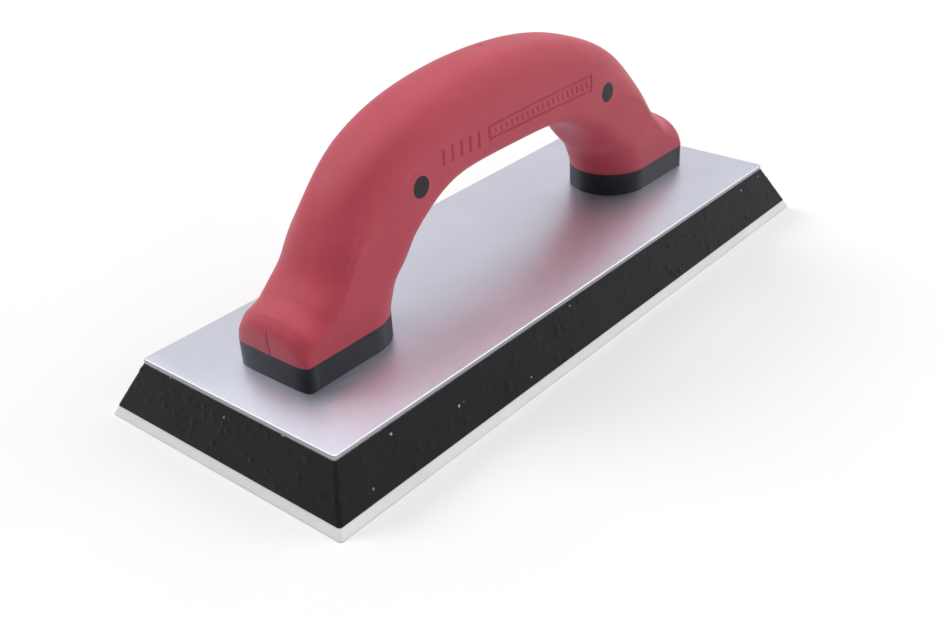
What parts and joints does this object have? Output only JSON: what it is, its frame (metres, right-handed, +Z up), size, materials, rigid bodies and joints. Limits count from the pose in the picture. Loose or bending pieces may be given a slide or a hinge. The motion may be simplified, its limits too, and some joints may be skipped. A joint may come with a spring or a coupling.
{
  "type": "rubber-faced hand float",
  "caption": "Rubber-faced hand float for grout and masonry: metal backing plate, bevelled foam pad, pale sole and arched soft-grip handle.",
  "frame": {"origin": "on the ground, under the middle of the sole", "axes": "+X along the blade, +Y across it, +Z up through the handle"},
  "size_m": [0.254, 0.1016, 0.0909],
  "materials": {
    "sole": "matt pale grey gum rubber",
    "pad": "matt black closed-cell foam rubber, cut faces slightly porous",
    "glue": "dried contact cement, yellow-green",
    "plate": "satin rolled light-metal sheet",
    "core": "satin black moulded plastic",
    "grip": "matt soft-touch red elastomer",
    "screw": "bright zinc-plated steel"
  },
  "bodies": {
    "root": {"rubber_sole": "sole", "sole_adhesive": "glue", "foam_pad": "pad", "plate_adhesive": "glue", "backing_plate": "plate", "handle_core": "core", "handle_grip": "grip", "handle_screw_1": "screw", "handle_screw_2": "screw", "handle_screw_3": "screw", "handle_screw_4": "screw"}
  },
  "joints": []
}
